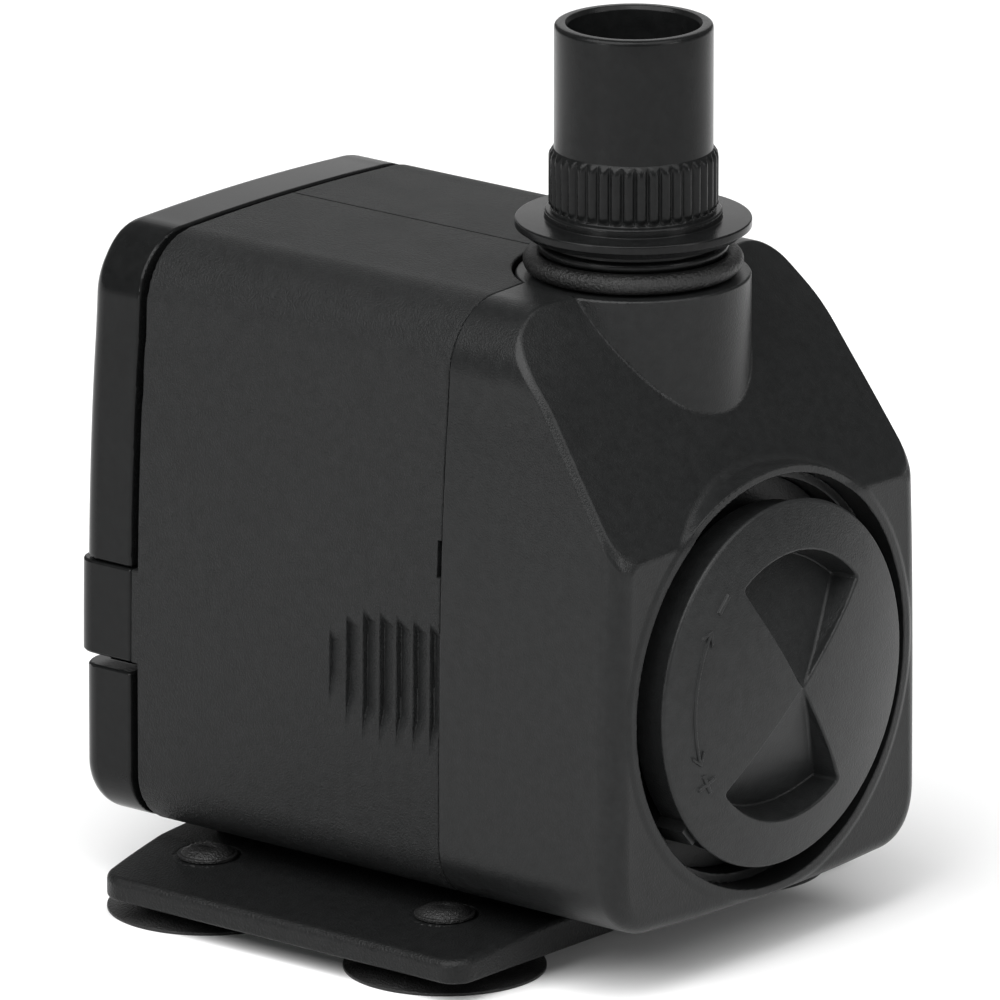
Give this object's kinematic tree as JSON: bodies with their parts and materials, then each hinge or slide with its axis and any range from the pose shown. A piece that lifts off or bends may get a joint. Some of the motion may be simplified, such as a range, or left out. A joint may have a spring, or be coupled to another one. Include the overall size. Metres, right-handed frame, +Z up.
{
  "type": "submersible pump",
  "caption": "Small magnetic-drive submersible fountain pump with flow dial, push-in outlet spigot and suction-cup base.",
  "frame": {"origin": "on the floor, centred under the pump's box", "axes": "+Z up; the dial and front cover face -Y; +X is to the right seen from the front"},
  "size_m": [0.065, 0.0764, 0.0946],
  "materials": {
    "housing_plastic": "fine spark-eroded texture",
    "cover_plastic": "satin",
    "rear_plastic": "gloss",
    "dial_plastic": "satin",
    "outlet_plastic": "satin",
    "plate_plastic": "satin",
    "black_rubber": "dull",
    "inner_plastic": "natural nylon",
    "rotor_ferrite": "ground",
    "shaft_ceramic": "polished",
    "core_steel": "stacked sheets",
    "rivet_brass": "plain",
    "winding_wire": "enamelled wire",
    "screw_steel": "stainless",
    "potting_resin": "cast resin"
  },
  "bodies": {
    "motor": {"motor_housing": "housing_plastic", "potting_block": "potting_resin", "stator_core": "core_steel", "stator_rivets": "rivet_brass", "coil_bobbin_left": "inner_plastic", "coil_bobbin_right": "inner_plastic", "coil_winding_left": "winding_wire", "coil_winding_right": "winding_wire", "thermal_cutout": "inner_plastic", "lead_wires": "black_rubber", "rear_cover_upper": "rear_plastic", "rear_band": "rear_plastic", "rear_cover_lower": "rear_plastic", "cord_gland": "black_rubber", "base_plate": "plate_plastic", "suction_cup_front_left": "black_rubber", "suction_cup_front_right": "black_rubber", "suction_cup_rear_left": "black_rubber", "suction_cup_rear_right": "black_rubber", "chamber_seal": "black_rubber", "shaft": "shaft_ceramic", "rear_shaft_bush": "black_rubber"},
    "rotor": {"rotor_magnet": "rotor_ferrite", "rotor_sleeve": "inner_plastic", "impeller": "inner_plastic", "thrust_washer_front": "shaft_ceramic", "thrust_washer_rear": "shaft_ceramic"},
    "cover": {"front_cover": "cover_plastic", "suction_plate": "cover_plastic", "front_shaft_bush": "black_rubber", "intake_grille": "cover_plastic"},
    "dial": {"flow_dial": "dial_plastic", "flow_shutter": "dial_plastic", "dial_screw": "screw_steel"},
    "seal_ring": {"outlet_seal": "black_rubber"},
    "adaptor": {"outlet_adaptor": "outlet_plastic"}
  },
  "joints": [
    {"name": "rotor_spin", "type": "hinge", "parent": "motor", "child": "rotor", "pos_m": [0, 0, 0.02945], "axis": [0, 1, 0], "continuous": true},
    {"name": "cover_pull", "type": "slide", "parent": "motor", "child": "cover", "axis": [0, -1, 0], "range_m": [0, 0.014]},
    {"name": "dial_turn", "type": "hinge", "parent": "cover", "child": "dial", "pos_m": [0, 0, 0.02945], "axis": [0, 1, 0], "range_deg": [-30, 30]},
    {"name": "adaptor_pull", "type": "slide", "parent": "cover", "child": "seal_ring", "axis": [0, 0, 1], "range_m": [0, 0.012]},
    {"name": "adaptor_turn", "type": "hinge", "parent": "seal_ring", "child": "adaptor", "pos_m": [0, -0.0161, 0.08], "axis": [0, 0, 1], "continuous": true}
  ]
}
